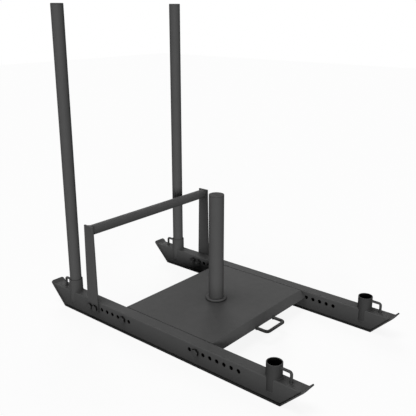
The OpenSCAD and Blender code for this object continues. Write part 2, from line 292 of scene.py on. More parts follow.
def powder_coat(name, colour, roughness, peel=0.0016, bump=0.00009, wear=0.5, dust=0.04, scuffs_and_ground_shade=0.0):
    """Matte or satin black powder coat on steel, with painted shade in corners, at joints and near the
    ground; where it slides on the ground, bare scuffs and painted shade along the lower edge.
    """
    finish, tree, surface = new_finish(name)
    skin = group(tree, powder_skin, Peel_size=peel)
    drift = group(tree, shade_drift)["Drift"]
    worn = group(tree, edge_wear, Amount=wear)["Wear"]
    dusty = group(tree, settled_dust, Amount=dust)["Dust"]
    coat = blend_tone(tree, drift, tone(colour * (1 - COAT_DRIFT)), tone(colour * (1 + COAT_DRIFT)))
    speckle_share, speckle_gain, dust_roughness = 0.25, 1.5, 0.25
    speckle = calc(tree, "MULTIPLY", skin["Speckle"], speckle_share)
    coat = blend_tone(tree, speckle, coat, tone(colour * speckle_gain))
    # Painted shade: darker in corners, at joints and near the ground
    coat = blend_tone(tree, group(tree, painted_corner_shade)["Painted shade"], coat, tone(colour * PAINTED_SHADE_SHARE))
    coat = blend_tone(tree, worn, coat, WORN_COAT)
    coat = blend_tone(tree, dusty, coat, DUST_TONE)
    rough = spread(tree, drift, 0.0, 1.0, roughness - COAT_DRIFT, roughness + COAT_DRIFT)
    rough = calc(tree, "MULTIPLY_ADD", dusty, dust_roughness, rough)
    if scuffs_and_ground_shade:
        # Painted shade: darker towards the ground along the skids' lower edge
        height = put(tree, "ShaderNodeSeparateXYZ",
                     {"Vector": put(tree, "ShaderNodeNewGeometry").outputs["Position"]}).outputs["Z"]
        painted_ground_shade = spread(tree, height, GROUND_SHADE_TOP, GROUND_SHADE_FULL, 0.0, GROUND_SHADE_COVER)
        coat = blend_tone(tree, painted_ground_shade, coat, tone(colour * PAINTED_SHADE_SHARE))
        scuff_polish, scuff_metal = -0.18, 0.85
        rubbed = ground_scuffs(tree, scuffs_and_ground_shade)
        coat = blend_tone(tree, rubbed, coat, SCUFFED_STEEL)
        rough = calc(tree, "MULTIPLY_ADD", rubbed, scuff_polish, rough)
        tree.links.new(calc(tree, "MULTIPLY", rubbed, scuff_metal), surface.inputs["Metallic"])
    bump_node = put(tree, "ShaderNodeBump", {"Strength": 1.0, "Distance": bump, "Height": skin["Height"]})
    tree.links.new(coat, surface.inputs["Base Color"])
    tree.links.new(rough, surface.inputs["Roughness"])
    tree.links.new(bump_node.outputs["Normal"], surface.inputs["Normal"])
    surface.inputs["Specular IOR Level"].default_value = COAT_SHEEN
    return finish


def ground_scuffs(tree, amount):
    """Long scratches under the skids, where they slide on the ground."""
    place = put(tree, "ShaderNodeTexCoord").outputs[OBJECT]
    lines_per_metre = (4.0, 420.0, 20.0)
    stretched = put(tree, "ShaderNodeMapping", {"Vector": place, "Scale": lines_per_metre})
    lines = noise(tree, stretched.outputs["Vector"], 1.0, detail=5.0, roughness=0.7)
    normal = put(tree, "ShaderNodeNewGeometry").outputs["Normal"]
    downward = put(tree, "ShaderNodeSeparateXYZ", {"Vector": normal}).outputs["Z"]
    sloping, level = -0.3, -0.95
    under = spread(tree, downward, sloping, level)
    patches = spread(tree, noise(tree, place, 9.0, detail=3.0), 0.35, 0.6)
    rubbed = calc(tree, "MULTIPLY", calc(tree, "MULTIPLY", under, patches), spread(tree, lines, 0.42, 0.6))
    return calc(tree, "MULTIPLY", rubbed, amount, clamp=True)


def moulded_plastic(name, colour, roughness):
    """Black plastic of the caps, with a fine spark eroded grain."""
    finish, tree, surface = new_finish(name)
    place = put(tree, "ShaderNodeTexCoord").outputs[OBJECT]
    cells = put(tree, "ShaderNodeTexVoronoi", {"Vector": place, "Scale": 1500.0}, feature="SMOOTH_F1")
    drift = group(tree, shade_drift, Patch_size=0.02)["Drift"]
    dusty = group(tree, settled_dust, Amount=0.3, Cloud_size=0.012)["Dust"]
    worn = group(tree, edge_wear, Amount=0.25, Break_size=0.006)["Wear"]
    shade = blend_tone(tree, drift, tone(colour * (1 - PLASTIC_DRIFT)), tone(colour * (1 + PLASTIC_DRIFT)))
    shade = blend_tone(tree, worn, shade, WORN_PLASTIC)
    shade = blend_tone(tree, dusty, shade, DUST_TONE)
    half_range = 0.04
    rough = spread(tree, drift, 0.0, 1.0, roughness - half_range, roughness + half_range)
    bump_node = put(tree, "ShaderNodeBump",
                    {"Strength": 0.7, "Distance": 0.00005, "Height": cells.outputs["Distance"]})
    tree.links.new(shade, surface.inputs["Base Color"])
    tree.links.new(rough, surface.inputs["Roughness"])
    tree.links.new(bump_node.outputs["Normal"], surface.inputs["Normal"])
    surface.inputs["Specular IOR Level"].default_value = PLASTIC_SHEEN
    return finish


def blackened_steel(name, colour, roughness):
    """Black oxide on bolts, nuts and washers, with brighter edges; the flanks and the corners where they meet
    the plate are darkened as painted shade.
    """
    finish, tree, surface = new_finish(name)
    place = put(tree, "ShaderNodeTexCoord").outputs[OBJECT]
    stain = noise(tree, place, 260.0, detail=4.0, roughness=0.6)
    lines = put(tree, "ShaderNodeTexWave",
                {"Vector": place, "Scale": 700.0, "Distortion": 2.0, "Detail": 2.0}, bands_direction="Z")
    worn = group(tree, edge_wear, Edge_width=0.0006, Amount=0.6, Break_size=0.004)["Wear"]
    shade = blend_tone(tree, spread(tree, stain, 0.3, 0.7), tone(colour * (1 - STEEL_STAIN)),
                       tone(colour * (1 + STEEL_STAIN)))
    # Painted shade: flanks that don't face across the sled are darkened; the faces keep the full tone
    normal = put(tree, "ShaderNodeNewGeometry").outputs["Normal"]
    outward = calc(tree, "ABSOLUTE", put(tree, "ShaderNodeSeparateXYZ", {"Vector": normal}).outputs["Y"])
    flank_turn, face_turn = 0.55, 0.95
    shade = blend_tone(tree, spread(tree, outward, flank_turn, face_turn), tone(colour * FLANK_PAINTED_SHADE_SHARE), shade)
    # Painted shade where a head, nut or washer meets its plate
    painted_shade = group(tree, painted_corner_shade, Reach=0.03, Amount=1.0)["Painted shade"]
    shade = blend_tone(tree, painted_shade, shade, tone(colour * STEEL_PAINTED_SHADE_SHARE))
    shade = blend_tone(tree, worn, shade, WORN_STEEL)
    half_range = 0.06
    rough = spread(tree, stain, 0.3, 0.7, roughness - half_range, roughness + half_range)
    bump_node = put(tree, "ShaderNodeBump",
                    {"Strength": 0.35, "Distance": 0.00003, "Height": lines.outputs["Fac"]})
    tree.links.new(shade, surface.inputs["Base Color"])
    tree.links.new(rough, surface.inputs["Roughness"])
    worn_metal = 0.9
    tree.links.new(calc(tree, "MULTIPLY", worn, worn_metal), surface.inputs["Metallic"])
    surface.inputs["Specular IOR Level"].default_value = STEEL_SHEEN
    tree.links.new(bump_node.outputs["Normal"], surface.inputs["Normal"])
    return finish


def scale_and_painted_shade_inside(name, colour):
    """Near black inside the tubes: bare mill scale where the coat doesn't reach, darkened further as painted
    shade of the hollow.
    """
    finish, tree, surface = new_finish(name)
    drift = group(tree, shade_drift, Patch_size=0.01)["Drift"]
    skin = group(tree, powder_skin, Peel_size=0.003, Grain_size=0.0007)
    shade = blend_tone(tree, drift, tone(colour * (1 - SCALE_DRIFT)), tone(colour * (1 + SCALE_DRIFT), 0.08))
    bump_node = put(tree, "ShaderNodeBump", {"Strength": 1.0, "Distance": 0.00008, "Height": skin["Height"]})
    tree.links.new(shade, surface.inputs["Base Color"])
    tree.links.new(spread(tree, drift, 0.0, 1.0, 0.75, 0.9), surface.inputs["Roughness"])
    tree.links.new(bump_node.outputs["Normal"], surface.inputs["Normal"])
    surface.inputs["Specular IOR Level"].default_value = COAT_SHEEN
    return finish


FINISHES = {
    "frame_coat": powder_coat("frame_coat", colour=0.082, roughness=0.58),
    "skid_coat": powder_coat("skid_coat", colour=0.078, roughness=0.58, wear=0.55, scuffs_and_ground_shade=0.9),
    # Painted shade: the front sockets get a darker copy of the frame coat
    "front_socket_shaded_coat": powder_coat("front_socket_shaded_coat", colour=0.056, roughness=0.55),
    "rod_coat": powder_coat("rod_coat", colour=0.068, roughness=0.55, wear=0.3, dust=0.03),
    "pole_coat": powder_coat("pole_coat", colour=0.09, roughness=0.5, peel=0.0022, bump=0.00005),
    "deck_coat": powder_coat("deck_coat", colour=0.084, roughness=0.6, dust=0.05),
    "post_coat": powder_coat("post_coat", colour=0.09, roughness=0.5, peel=0.002, bump=0.00005),
    "handle_coat": powder_coat("handle_coat", colour=0.086, roughness=0.54),
    "cap_plastic": moulded_plastic("cap_plastic", colour=0.085, roughness=0.66),
    "black_steel": blackened_steel("black_steel", colour=0.055, roughness=0.5),
    # Painted shade: near black inner walls of the runners and socket bores
    "tube_inside_scale_and_shade": scale_and_painted_shade_inside("tube_inside_scale_and_shade", colour=0.005),
}


def finish_of(node):
    """The finish of a node's slot, but the skid plates are scuffed and shaded in paint toward the ground, and
    the front sockets take a darker copy of the frame coat as painted shade.
    """
    if node.endswith("skid_plate"):
        return FINISHES["skid_coat"]
    if node.startswith("front") and node.endswith("socket"):
        return FINISHES["front_socket_shaded_coat"]
    return FINISHES[slot_of[node]]


# Sheet, tube and solid pieces: the frame's shapes with their sharp edges broken

SHARP = math.radians(32)
FLAT = math.radians(0.4)
SAME_POINT = 0.000002
EDGE_SEGMENTS = 2
RUNNER_WALL = 0.0025
SOCKET_WALL = 0.003
SURFACE_NEAR = 0.0002


def soft_shading(mesh):
    mesh.shade_smooth()
    mesh.set_sharp_from_angle(angle=SHARP)


def in_runner(point, low, high):
    """Whether a face's middle lies on the inner walls of a runner."""
    half_wall = (RUNNER_WALL + SURFACE_NEAR) / 2
    between_sides = low[1] + half_wall < point.y < high[1] - half_wall
    return between_sides and low[2] + half_wall < point.z < high[2] - half_wall


def in_socket(point, low, high):
    """Whether a face's middle lies on a socket's bore."""
    across = math.hypot(point.x - (low[0] + high[0]) / 2, point.y - (low[1] + high[1]) / 2)
    return across < (high[0] - low[0]) / 2 - SOCKET_WALL + SURFACE_NEAR and point.z < high[2] - SURFACE_NEAR


def dressed(node, edge, inside=None):
    """A copy of a node, merged to clean faces, with its sharp edges rounded by the given radius."""
    shape = bmesh.new()
    shape.from_mesh(frame["nodes"][node].data)
    bmesh.ops.remove_doubles(shape, verts=shape.verts, dist=SAME_POINT)
    bmesh.ops.dissolve_limit(shape, angle_limit=FLAT, verts=shape.verts, edges=shape.edges)
    shape.verts.index_update()
    points = [vert.co.copy() for vert in shape.verts]
    faces = [[vert.index for vert in face.verts] for face in shape.faces]
    shape.free()
    mesh = bpy.data.meshes.new(f"{node}_piece")
    mesh.from_pydata(points, [], faces)
    soft_shading(mesh)
    mesh.materials.append(finish_of(node))
    if inside:
        # Faces on the inner walls take the near black painted shade finish
        mesh.materials.append(FINISHES["tube_inside_scale_and_shade"])
        low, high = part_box(node)
        for face in mesh.polygons:
            face.material_index = int(inside(face.center, low, high))
    piece = bpy.data.objects.new(f"{node}_piece", mesh)
    scene.collection.objects.link(piece)
    rounding = piece.modifiers.new("broken_edges", "BEVEL")
    rounding.limit_method = "ANGLE"
    rounding.angle_limit = SHARP
    rounding.width = edge
    rounding.segments = EDGE_SEGMENTS
    rounding.harden_normals = True
    settle(piece, node)


def settle(piece, *nodes):
    """The piece stands for its nodes and rides on their body."""
    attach(piece, body_of[nodes[0]])
    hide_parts(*nodes)


PLATE_EDGE = 0.0005
TUBE_EDGE = 0.0004
for side in SIDES:
    dressed(f"{side}_runner", TUBE_EDGE, in_runner)
    dressed(f"{side}_skid_plate", PLATE_EDGE)
    dressed(f"{side}_upright", PLATE_EDGE)
    dressed(f"{side}_pole", TUBE_EDGE)
    dressed(f"{side}_pole_cap", TUBE_EDGE)
    for end in ENDS:
        dressed(f"{end}_{side}_socket", TUBE_EDGE, in_socket)
        socket_floor = frame["nodes"][f"{end}_{side}_floor"].data
        socket_floor.materials.clear()
        socket_floor.materials.append(FINISHES["frame_coat"])
dressed("deck", PLATE_EDGE)
dressed("post_collar", TUBE_EDGE)
dressed("weight_post", TUBE_EDGE)
dressed("post_cap", TUBE_EDGE)
dressed("crossbar", TUBE_EDGE)


# Pieces made by geometry nodes

BEND_STEPS = 10
ROD_SIDES = 28
BEAD_SIDES = 8
STEPS_PER_RIPPLE = 5.0
RING_SIDES = 48
PIN_SIDES = 32
EASE_STEPS = 3
TOUCHING = 0.00001


def wires(name, *paths):
    """A mesh of open or closed lines. A path whose last point is its first is closed."""
    points, edges = [], []
    for path in paths:
        closed = (path[0] - path[-1]).length < TOUCHING
        own = path[:-1] if closed else path
        first = len(points)
        points += own
        edges += [(first + i, first + i + 1) for i in range(len(own) - 1)]
        if closed:
            edges.append((first + len(own) - 1, first))
    mesh = bpy.data.meshes.new(name)
    mesh.from_pydata(points, edges, [])
    return mesh


def grow(name, tree, start_mesh, sizes, finish):
    """Runs a tree on a start mesh and keeps the result as one plain mesh."""
    piece = bpy.data.objects.new(name, start_mesh)
    scene.collection.objects.link(piece)
    maker = piece.modifiers.new("maker", "NODES")
    maker.node_group = tree
    values = dict(sizes, Finish=finish)
    for item in tree.interface.items_tree:
        if item.in_out == "INPUT" and item.name in values:
            maker[item.identifier] = values[item.name]
    view = bpy.context.evaluated_depsgraph_get()
    mesh = bpy.data.meshes.new_from_object(piece.evaluated_get(view))
    piece.modifiers.clear()
    piece.data = mesh
    mesh.name = name
    return piece


def ending(tree, shape, finish, target):
    """Makes the instances real, gives them their finish and links them to the tree's end."""
    real = put(tree, "GeometryNodeRealizeInstances", {"Geometry": shape}).outputs["Geometry"]
    coated = put(tree, "GeometryNodeSetMaterial", {"Geometry": real, "Material": finish})
    tree.links.new(coated.outputs["Geometry"], target)


def make_bent_rod():
    """Round rod along a line, bent to a radius at its corners."""
    inputs = [("Line", SHAPE, None), ("Rod diameter", NUMBER, 0.008), ("Bend radius", NUMBER, 0.01),
              ("Finish", FINISH, None)]
    tree, start, end = new_tree("bent_rod", "GeometryNodeTree", inputs, [("Rod", SHAPE)])
    curve = put(tree, "GeometryNodeMeshToCurve", {"Mesh": start["Line"]}).outputs["Curve"]
    bent = put(tree, "GeometryNodeFilletCurve", {"Curve": curve, "Radius": start["Bend radius"]},
               mode="POLY")
    bent.inputs["Count"].default_value = BEND_STEPS
    radius = calc(tree, "DIVIDE", start["Rod diameter"], 2.0)
    round_bar = put(tree, "GeometryNodeCurvePrimitiveCircle", {"Resolution": ROD_SIDES, "Radius": radius})
    rod = put(tree, "GeometryNodeCurveToMesh",
              {"Curve": bent.outputs["Curve"], "Profile Curve": round_bar.outputs["Curve"],
               "Fill Caps": True})
    ending(tree, rod.outputs["Mesh"], start["Finish"], end["Rod"])
    return tree


def make_weld_bead():
    """Rippled weld bead along a line, under the coat."""
    inputs = [("Line", SHAPE, None), ("Bead width", NUMBER, 0.003), ("Ripple pitch", NUMBER, 0.0022),
              ("Ripple depth", NUMBER, 0.22), ("Seed", COUNT, 3), ("Finish", FINISH, None)]
    tree, start, end = new_tree("weld_bead", "GeometryNodeTree", inputs, [("Bead", SHAPE)])
    curve = put(tree, "GeometryNodeMeshToCurve", {"Mesh": start["Line"]}).outputs["Curve"]
    steps = put(tree, "GeometryNodeResampleCurve", {"Curve": curve}, mode="LENGTH")
    feed(tree, steps.inputs["Length"], calc(tree, "DIVIDE", start["Ripple pitch"], STEPS_PER_RIPPLE))
    along = put(tree, "GeometryNodeSplineParameter").outputs["Length"]
    ripples = calc(tree, "DIVIDE", along, start["Ripple pitch"])
    wave = calc(tree, "ABSOLUTE", calc(tree, "SINE", calc(tree, "MULTIPLY", ripples, math.pi)))
    wobble = put(tree, "ShaderNodeTexNoise", {"W": ripples, "Scale": 0.35, "Detail": 2.0},
                 noise_dimensions="4D")
    seed_place = put(tree, "ShaderNodeCombineXYZ", {"X": start["Seed"]}).outputs["Vector"]
    tree.links.new(seed_place, wobble.inputs["Vector"])
    thinnest, unevenness = 0.7, 0.22
    size = calc(tree, "MULTIPLY_ADD", wave, start["Ripple depth"], thinnest)
    size = calc(tree, "ADD", size, spread(tree, wobble.outputs["Fac"], 0.3, 0.7, 0.0, unevenness))
    radius = calc(tree, "DIVIDE", start["Bead width"], 2.0)
    section = put(tree, "GeometryNodeCurvePrimitiveCircle", {"Resolution": BEAD_SIDES, "Radius": radius})
    bead = put(tree, "GeometryNodeCurveToMesh",
               {"Curve": steps.outputs["Curve"], "Profile Curve": section.outputs["Curve"], "Scale": size,
                "Fill Caps": True})
    ending(tree, bead.outputs["Mesh"], start["Finish"], end["Bead"])
    return tree


def make_hex_block():
    """Hexagonal block standing on Z = 0, its upper corners turned off at 30 degrees."""
    inputs = [("Across flats", NUMBER, 0.019), ("Height", NUMBER, 0.007)]
    tree, start, end = new_tree("hex_block", "GeometryNodeTree", inputs, [("Block", SHAPE)])
    flats, height = start["Across flats"], start["Height"]
    prism = put(tree, "GeometryNodeMeshCylinder",
                {"Vertices": 6, "Radius": calc(tree, "DIVIDE", flats, math.sqrt(3)), "Depth": height})
    lift = put(tree, "ShaderNodeCombineXYZ", {"Z": calc(tree, "DIVIDE", height, 2.0)}).outputs["Vector"]
    raised = put(tree, "GeometryNodeTransform", {"Geometry": prism.outputs["Mesh"], "Translation": lift})
    turned_face = 0.95
    face_radius = calc(tree, "MULTIPLY", flats, turned_face / 2)
    foot_radius = calc(tree, "MULTIPLY_ADD", height, 2 * math.sqrt(3), face_radius)
    tool = put(tree, "GeometryNodeMeshCone",
               {"Vertices": RING_SIDES, "Radius Top": 0.0, "Radius Bottom": foot_radius,
                "Depth": calc(tree, "DIVIDE", foot_radius, math.sqrt(3))})
    drop = put(tree, "ShaderNodeCombineXYZ", {"Z": calc(tree, "MULTIPLY", height, -1.0)}).outputs["Vector"]
    lowered = put(tree, "GeometryNodeTransform", {"Geometry": tool.outputs["Mesh"], "Translation": drop})
    turned = put(tree, "GeometryNodeMeshBoolean", operation="INTERSECT")
    tree.links.new(raised.outputs["Geometry"], turned.inputs["Mesh 2"])
    tree.links.new(lowered.outputs["Geometry"], turned.inputs["Mesh 2"])
    tree.links.new(turned.outputs["Mesh"], end["Block"])
    return tree


hex_block = make_hex_block()


def ring(tree, inner, outer, bottom, top, edge):
    """A turned ring about Z with rounded edges."""
    middle = calc(tree, "DIVIDE", calc(tree, "ADD", inner, outer), 2.0)
    path = put(tree, "GeometryNodeCurvePrimitiveCircle", {"Resolution": RING_SIDES, "Radius": middle})
    upright = put(tree, "GeometryNodeSetCurveNormal", {"Curve": path.outputs["Curve"]}, mode="Z_UP")
    width = calc(tree, "SUBTRACT", outer, inner)
    depth = calc(tree, "SUBTRACT", top, bottom)
    section = put(tree, "GeometryNodeCurvePrimitiveQuadrilateral", {"Width": width, "Height": depth})
    eased = put(tree, "GeometryNodeFilletCurve",
                {"Curve": section.outputs["Curve"], "Radius": edge}, mode="POLY")
    eased.inputs["Count"].default_value = EASE_STEPS
    body = put(tree, "GeometryNodeCurveToMesh",
               {"Curve": upright.outputs["Curve"], "Profile Curve": eased.outputs["Curve"]})
    height = calc(tree, "DIVIDE", calc(tree, "ADD", bottom, top), 2.0)
    lift = put(tree, "ShaderNodeCombineXYZ", {"Z": height}).outputs["Vector"]
    moved = put(tree, "GeometryNodeTransform", {"Geometry": body.outputs["Mesh"], "Translation": lift})
    return moved.outputs["Geometry"]


def rod_piece(tree, radius, bottom, top, sides=PIN_SIDES, end_radius=None):
    """A turned pin about Z, or a cone where its lower end has another radius."""
    depth = calc(tree, "SUBTRACT", top, bottom)
    cone = put(tree, "GeometryNodeMeshCone",
               {"Vertices": sides, "Radius Bottom": radius if end_radius is None else end_radius,
                "Radius Top": radius, "Depth": depth})
    lift = put(tree, "ShaderNodeCombineXYZ", {"Z": bottom}).outputs["Vector"]
    moved = put(tree, "GeometryNodeTransform", {"Geometry": cone.outputs["Mesh"], "Translation": lift})
    return moved.outputs["Geometry"]


def place_at_holes(tree, start, shape):
    """Stands the shape on each point, along the point's own axis and turned at random about it."""
    turn = put(tree, "FunctionNodeRandomValue", {"Seed": start["Seed"]}, data_type="FLOAT")
    turn.inputs[2].default_value = 0.0
    turn.inputs[3].default_value = math.tau
    spin = put(tree, "ShaderNodeCombineXYZ", {"Z": turn.outputs[1]}).outputs["Vector"]
    spin = put(tree, "FunctionNodeEulerToRotation", {"Euler": spin}).outputs["Rotation"]
    axis = put(tree, "GeometryNodeInputNamedAttribute", {"Name": "lean"}, data_type="FLOAT_VECTOR")
    lean = put(tree, "FunctionNodeEulerToRotation", {"Euler": axis.outputs["Attribute"]}).outputs["Rotation"]
    turned = put(tree, "FunctionNodeRotateRotation", {"Rotation": lean, "Rotate By": spin},
                 rotation_space="LOCAL")
    placed = put(tree, "GeometryNodeInstanceOnPoints",
                 {"Points": start["Places"], "Instance": shape, "Rotation": turned.outputs["Rotation"]})
    return placed.outputs["Instances"]


def join(tree, *shapes):
    """One geometry of all the shapes."""
    node = put(tree, "GeometryNodeJoinGeometry")
    for shape in shapes:
        tree.links.new(shape, node.inputs["Geometry"])
    return node.outputs["Geometry"]


def block(tree, flats, height, lift):
    """A hexagonal block that stands at the given height."""
    node = put(tree, "GeometryNodeGroup", node_tree=hex_block)
    feed(tree, node.inputs["Across flats"], flats)
    feed(tree, node.inputs["Height"], height)
    up = put(tree, "ShaderNodeCombineXYZ", {"Z": lift}).outputs["Vector"]
    moved = put(tree, "GeometryNodeTransform", {"Geometry": node.outputs["Block"], "Translation": up})
    return moved.outputs["Geometry"]


def make_hex_bolts():
    """Hexagon bolts: head with washer face, shank, and a cut thread at the end."""
    inputs = [("Places", SHAPE, None), ("Across flats", NUMBER, 0.019), ("Head height", NUMBER, 0.0075),
              ("Washer face", NUMBER, 0.0005), ("Diameter", NUMBER, 0.012), ("Length", NUMBER, 0.06),
              ("Thread length", NUMBER, 0.019), ("Thread pitch", NUMBER, 0.00175), ("Seed", COUNT, 7),
              ("Finish", FINISH, None)]
    tree, start, end = new_tree("hex_bolts", "GeometryNodeTree", inputs, [("Bolts", SHAPE)])
    flats, face = start["Across flats"], start["Washer face"]
    head = block(tree, flats, calc(tree, "SUBTRACT", start["Head height"], face), face)
    washer_face_share, overlap = 0.93, 1.2
    collar = rod_piece(tree, calc(tree, "MULTIPLY", flats, washer_face_share / 2), 0.0,
                       calc(tree, "MULTIPLY", face, overlap), RING_SIDES)
    radius = calc(tree, "DIVIDE", start["Diameter"], 2.0)
    root = calc(tree, "MULTIPLY_ADD", start["Thread pitch"], -0.5, radius)
    tip = calc(tree, "MULTIPLY", start["Length"], -1.0)
    thread_top = calc(tree, "ADD", tip, start["Thread length"])
    point_top = calc(tree, "ADD", tip, calc(tree, "MULTIPLY", start["Thread pitch"], 0.6))
    shank = rod_piece(tree, radius, thread_top, 0.0)
    core = rod_piece(tree, root, point_top, thread_top)
    point = rod_piece(tree, root, tip, point_top, end_radius=calc(tree, "MULTIPLY", root, 0.9))
    turns = calc(tree, "DIVIDE", calc(tree, "SUBTRACT", thread_top, point_top), start["Thread pitch"])
    helix = put(tree, "GeometryNodeCurveSpiral",
                {"Resolution": 20, "Rotations": turns, "Start Radius": root, "End Radius": root,
                 "Height": calc(tree, "SUBTRACT", thread_top, point_top)})
    upright = put(tree, "GeometryNodeSetCurveNormal", {"Curve": helix.outputs["Curve"]}, mode="Z_UP")
    ridge = put(tree, "GeometryNodeCurvePrimitiveCircle",
                {"Resolution": 4, "Radius": calc(tree, "MULTIPLY", start["Thread pitch"], 0.48)})
    thread = put(tree, "GeometryNodeCurveToMesh",
                 {"Curve": upright.outputs["Curve"], "Profile Curve": ridge.outputs["Curve"],
                  "Fill Caps": True})
    lift = put(tree, "ShaderNodeCombineXYZ", {"Z": point_top}).outputs["Vector"]
    wound = put(tree, "GeometryNodeTransform", {"Geometry": thread.outputs["Mesh"], "Translation": lift})
    bolt = join(tree, head, collar, shank, core, point, wound.outputs["Geometry"])
    ending(tree, place_at_holes(tree, start, bolt), start["Finish"], end["Bolts"])
    return tree


def make_lock_nuts():
    """Lock nuts: hexagon, round collar with a rolled rim, and the insert ring inside it."""
    inputs = [("Places", SHAPE, None), ("Across flats", NUMBER, 0.019), ("Nut height", NUMBER, 0.008),
              ("Collar height", NUMBER, 0.003), ("Collar diameter", NUMBER, 0.017), ("Bore", NUMBER, 0.0122),
              ("Seed", COUNT, 11), ("Finish", FINISH, None)]
    tree, start, end = new_tree("lock_nuts", "GeometryNodeTree", inputs, [("Nuts", SHAPE)])
    flats, height = start["Across flats"], start["Nut height"]
    bore_radius = calc(tree, "DIVIDE", start["Bore"], 2.0)
    hexagon = block(tree, flats, height, 0.0)
    drill = rod_piece(tree, bore_radius, calc(tree, "MULTIPLY", height, -0.5),
                      calc(tree, "MULTIPLY", height, 1.5))
    bored = put(tree, "GeometryNodeMeshBoolean", operation="DIFFERENCE")
    tree.links.new(hexagon, bored.inputs["Mesh 1"])
    tree.links.new(drill, bored.inputs["Mesh 2"])
    collar_radius = calc(tree, "DIVIDE", start["Collar diameter"], 2.0)
    top = calc(tree, "ADD", height, start["Collar height"])
    rim_edge, insert_edge = 0.0006, 0.0004
    rim_inner = calc(tree, "MULTIPLY", collar_radius, 0.82)
    collar = ring(tree, rim_inner, collar_radius, calc(tree, "MULTIPLY", height, 0.9), top, rim_edge)
    insert = ring(tree, bore_radius, calc(tree, "MULTIPLY", rim_inner, 1.03),
                  calc(tree, "MULTIPLY", height, 0.95), calc(tree, "SUBTRACT", top, rim_edge), insert_edge)
    nut = join(tree, bored.outputs["Mesh"], collar, insert)
    ending(tree, place_at_holes(tree, start, nut), start["Finish"], end["Nuts"])
    return tree


def make_washers():
    """Flat washers with stamped, slightly rounded edges."""
    inputs = [("Places", SHAPE, None), ("Diameter", NUMBER, 0.024), ("Thickness", NUMBER, 0.002),
              ("Bore", NUMBER, 0.0122), ("Seed", COUNT, 5), ("Finish", FINISH, None)]
    tree, start, end = new_tree("washers", "GeometryNodeTree", inputs, [("Washers", SHAPE)])
    inner = calc(tree, "DIVIDE", start["Bore"], 2.0)
    outer = calc(tree, "DIVIDE", start["Diameter"], 2.0)
    stamped_edge = 0.0003
    washer = ring(tree, inner, outer, 0.0, start["Thickness"], stamped_edge)
    ending(tree, place_at_holes(tree, start, washer), start["Finish"], end["Washers"])
    return tree


bent_rod = make_bent_rod()
weld_bead = make_weld_bead()
hex_bolts = make_hex_bolts()
lock_nuts = make_lock_nuts()
washers = make_washers()


# Fasteners in their holes

HOLE_END = 0.300
HOLE_PITCH = 0.025
HANDLE_HOLES = (0, 1)
DECK_HOLE = 6
HEAD_HEIGHT = 0.0075
WASHER = 0.002
NUT_HEIGHT = 0.008
NUT_COLLAR = 0.003
hole_z = (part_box("handle_bolts")[0][2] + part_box("handle_bolts")[1][2]) / 2


def hole_x(place):
    """Distance of a side hole from the sled's middle. Place 0 is the outermost hole of a row."""
    return HOLE_END - place * HOLE_PITCH


def fastener_places(name, holes, seat_y, outward):
    """One point at each hole and side, with the lean that turns Z out of or into the sled."""
    mesh = bpy.data.meshes.new(name)
    mesh.from_pydata([(x, side * seat_y, hole_z) for side in SIDES.values() for x in holes], [], [])
    lean = mesh.attributes.new("lean", "FLOAT_VECTOR", "POINT")
    for item, point in zip(lean.data, mesh.vertices):
        side = 1 if point.co.y > 0 else -1
        item.vector = (-side * outward * math.pi / 2, 0, 0)
    return mesh


def fastener_set(kind, holes):
    """The bolts, nuts and washers of one kind, each a piece for the node of the same name."""
    head_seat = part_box(f"{kind}_bolts")[1][1] - HEAD_HEIGHT
    washer_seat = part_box(f"{kind}_washers")[1][1]
    bolt_length = head_seat - min_side_distance(f"{kind}_bolts")
    makers = {
        "bolts": (hex_bolts, head_seat, 1, {"Head height": HEAD_HEIGHT, "Length": bolt_length}),
        "nuts": (lock_nuts, washer_seat - WASHER, -1,
                 {"Nut height": NUT_HEIGHT, "Collar height": NUT_COLLAR}),
        "washers": (washers, washer_seat, -1, {"Thickness": WASHER}),
    }
    for what, (tree, seat, outward, sizes) in makers.items():
        piece = grow(f"{kind}_{what}_piece", tree, fastener_places(f"{what}_places", holes, seat, outward),
                     sizes, FINISHES["black_steel"])
        soft_shading(piece.data)
        settle(piece, f"{kind}_{what}")


def min_side_distance(node):
    """Smallest distance of a node's points from the sled's middle plane."""
    return min(abs(point.co.y) for point in frame["nodes"][node].data.vertices)


fastener_set("handle", [-hole_x(place) for place in HANDLE_HOLES])
fastener_set("deck", [end * hole_x(DECK_HOLE) for end in ENDS.values()])


# Rod loops

LOOP_BEND = 0.0065
TOW_BEND = 0.011
WELD_SINK = 0.002
runner_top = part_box("left_runner")[1][2]
socket_radius = (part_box("front_left_socket")[1][1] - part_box("front_left_socket")[0][1]) / 2


def socket_axis(end, side):
    """Where a socket's axis meets the ground."""
    low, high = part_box(f"{end}_{side}_socket")
    return Vector(((low[0] + high[0]) / 2, (low[1] + high[1]) / 2, 0))


def rod_piece_for(node, line, bend, diameter):
    """The bent rod that stands for a node."""
    piece = grow(f"{node}_piece", bent_rod, wires(node, line),
                 {"Rod diameter": diameter, "Bend radius": bend}, finish_of(node))
    soft_shading(piece.data)
    settle(piece, node)


loop_lines = {}
for end, end_sign in ENDS.items():
    for side in SIDES:
        node = f"{end}_{side}_loop"
        low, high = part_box(node)
        rod = high[1] - low[1]
        axis = socket_axis(end, side)
        leg_x = (high[0] if end_sign > 0 else low[0]) - end_sign * rod / 2
        run_z = high[2] - rod / 2
        start_x = axis.x + end_sign * (socket_radius - WELD_SINK)
        line = [Vector((start_x, axis.y, run_z)), Vector((leg_x, axis.y, run_z)),
                Vector((leg_x, axis.y, runner_top))]
        rod_piece_for(node, line, LOOP_BEND, rod)
        loop_lines[node] = line

